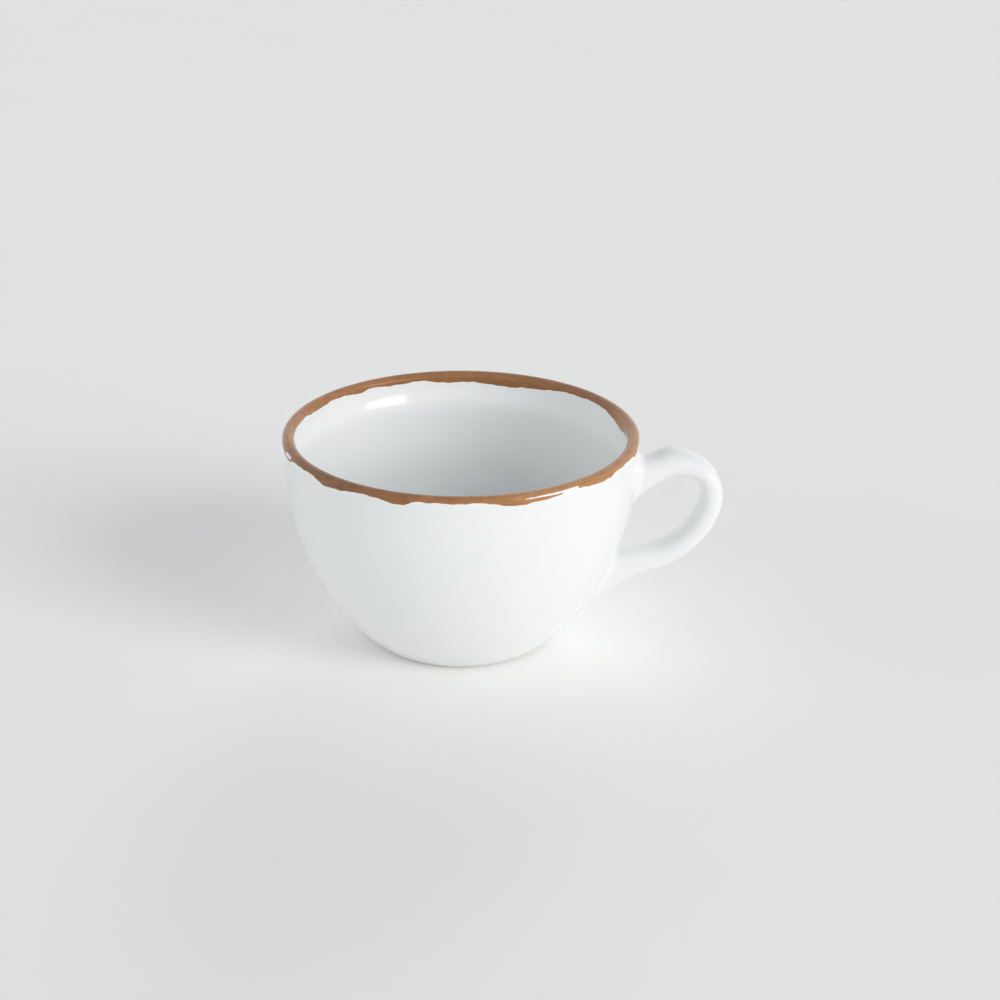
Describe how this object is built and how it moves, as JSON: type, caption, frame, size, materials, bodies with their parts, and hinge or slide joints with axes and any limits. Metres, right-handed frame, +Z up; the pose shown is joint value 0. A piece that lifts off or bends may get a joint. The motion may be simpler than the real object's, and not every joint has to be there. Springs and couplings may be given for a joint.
{
  "type": "cappuccino cup",
  "caption": "Wide porcelain cup with rounded belly, low foot ring, ear-shaped loop handle and brown brushed lip, for serving and drinking hot milk coffee.",
  "frame": {"origin": "on the table, under the middle of the box round the bowl and handle together", "axes": "+X from the bowl towards the handle, in the handle's plane; +Z up out of the cup"},
  "size_m": [0.1218, 0.098, 0.0606],
  "materials": {
    "porcelain": "white porcelain under a clear glossy glaze",
    "rim_glaze": "brown brushed glaze, glossy, darker where it lies thick"
  },
  "bodies": {
    "root": {"bowl": "porcelain", "handle": "porcelain", "upper_slip_joint": "porcelain", "lower_slip_joint": "porcelain", "rim_band": "rim_glaze"}
  },
  "joints": []
}
